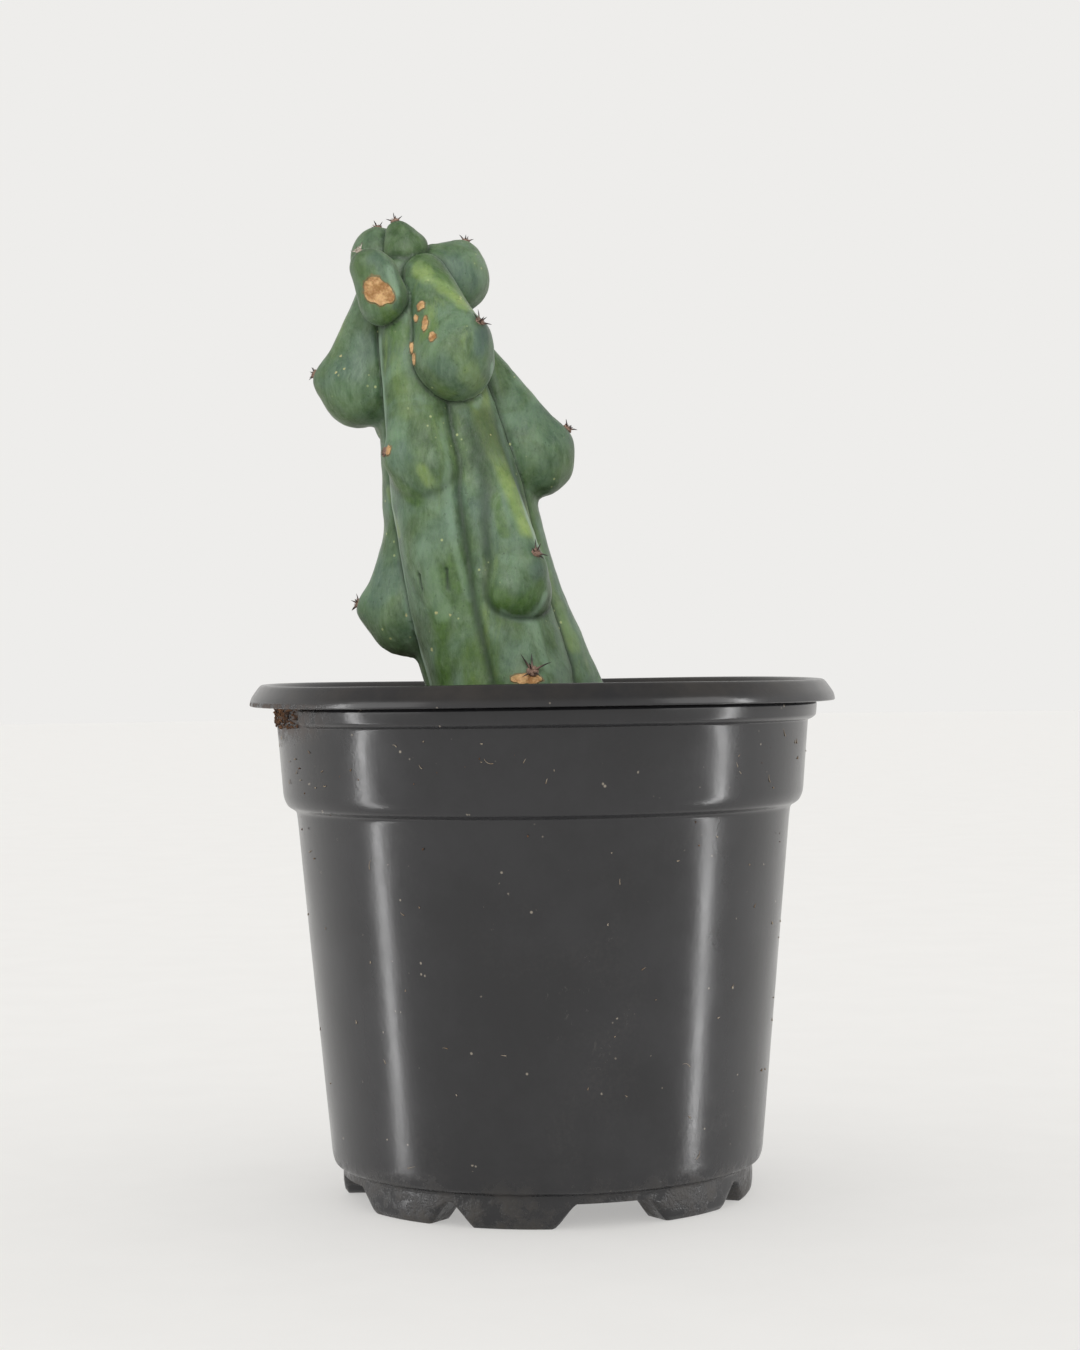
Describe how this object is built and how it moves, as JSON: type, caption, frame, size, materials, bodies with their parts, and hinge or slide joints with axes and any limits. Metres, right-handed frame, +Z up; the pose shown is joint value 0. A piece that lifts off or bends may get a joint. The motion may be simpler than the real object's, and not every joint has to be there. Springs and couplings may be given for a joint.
{
  "type": "potted columnar cactus with swollen tubercles",
  "caption": "Leaning ribbed cactus stem with rounded swollen tubercles and short spines, growing in soil in a round footed nursery pot.",
  "frame": {"origin": "on the surface that the pot stands on, at the pot's axis", "axes": "+Z up along the pot's axis; -Y is the front; the stem leans towards -X"},
  "size_m": [0.16, 0.16, 0.2704],
  "materials": {
    "pot_plastic": "semi-gloss injection-moulded polypropylene, dusty",
    "soil": "damp peat potting mix with pumice grains",
    "cactus_skin": "waxy blue-green skin with a pale bloom",
    "spines": "dark dry spines on a pale felted pad"
  },
  "bodies": {
    "root": {"pot": "pot_plastic", "soil": "soil", "cactus_stem": "cactus_skin", "spines_left_upper": "spines", "spines_left_lower": "spines", "spines_front_left_crown": "spines", "spines_front_left_middle": "spines", "spines_front_right_upper": "spines", "spines_front_right_middle": "spines", "spines_front_right_lower": "spines", "spines_right_upper": "spines", "spines_right_middle": "spines", "spines_right_lower": "spines", "spines_crown": "spines", "spines_back_left_crown": "spines", "spines_back_right_upper": "spines", "spines_back_right_middle": "spines", "spines_back_right_lower": "spines", "spines_back_left_upper": "spines", "spines_back_left_lower": "spines"}
  },
  "joints": []
}
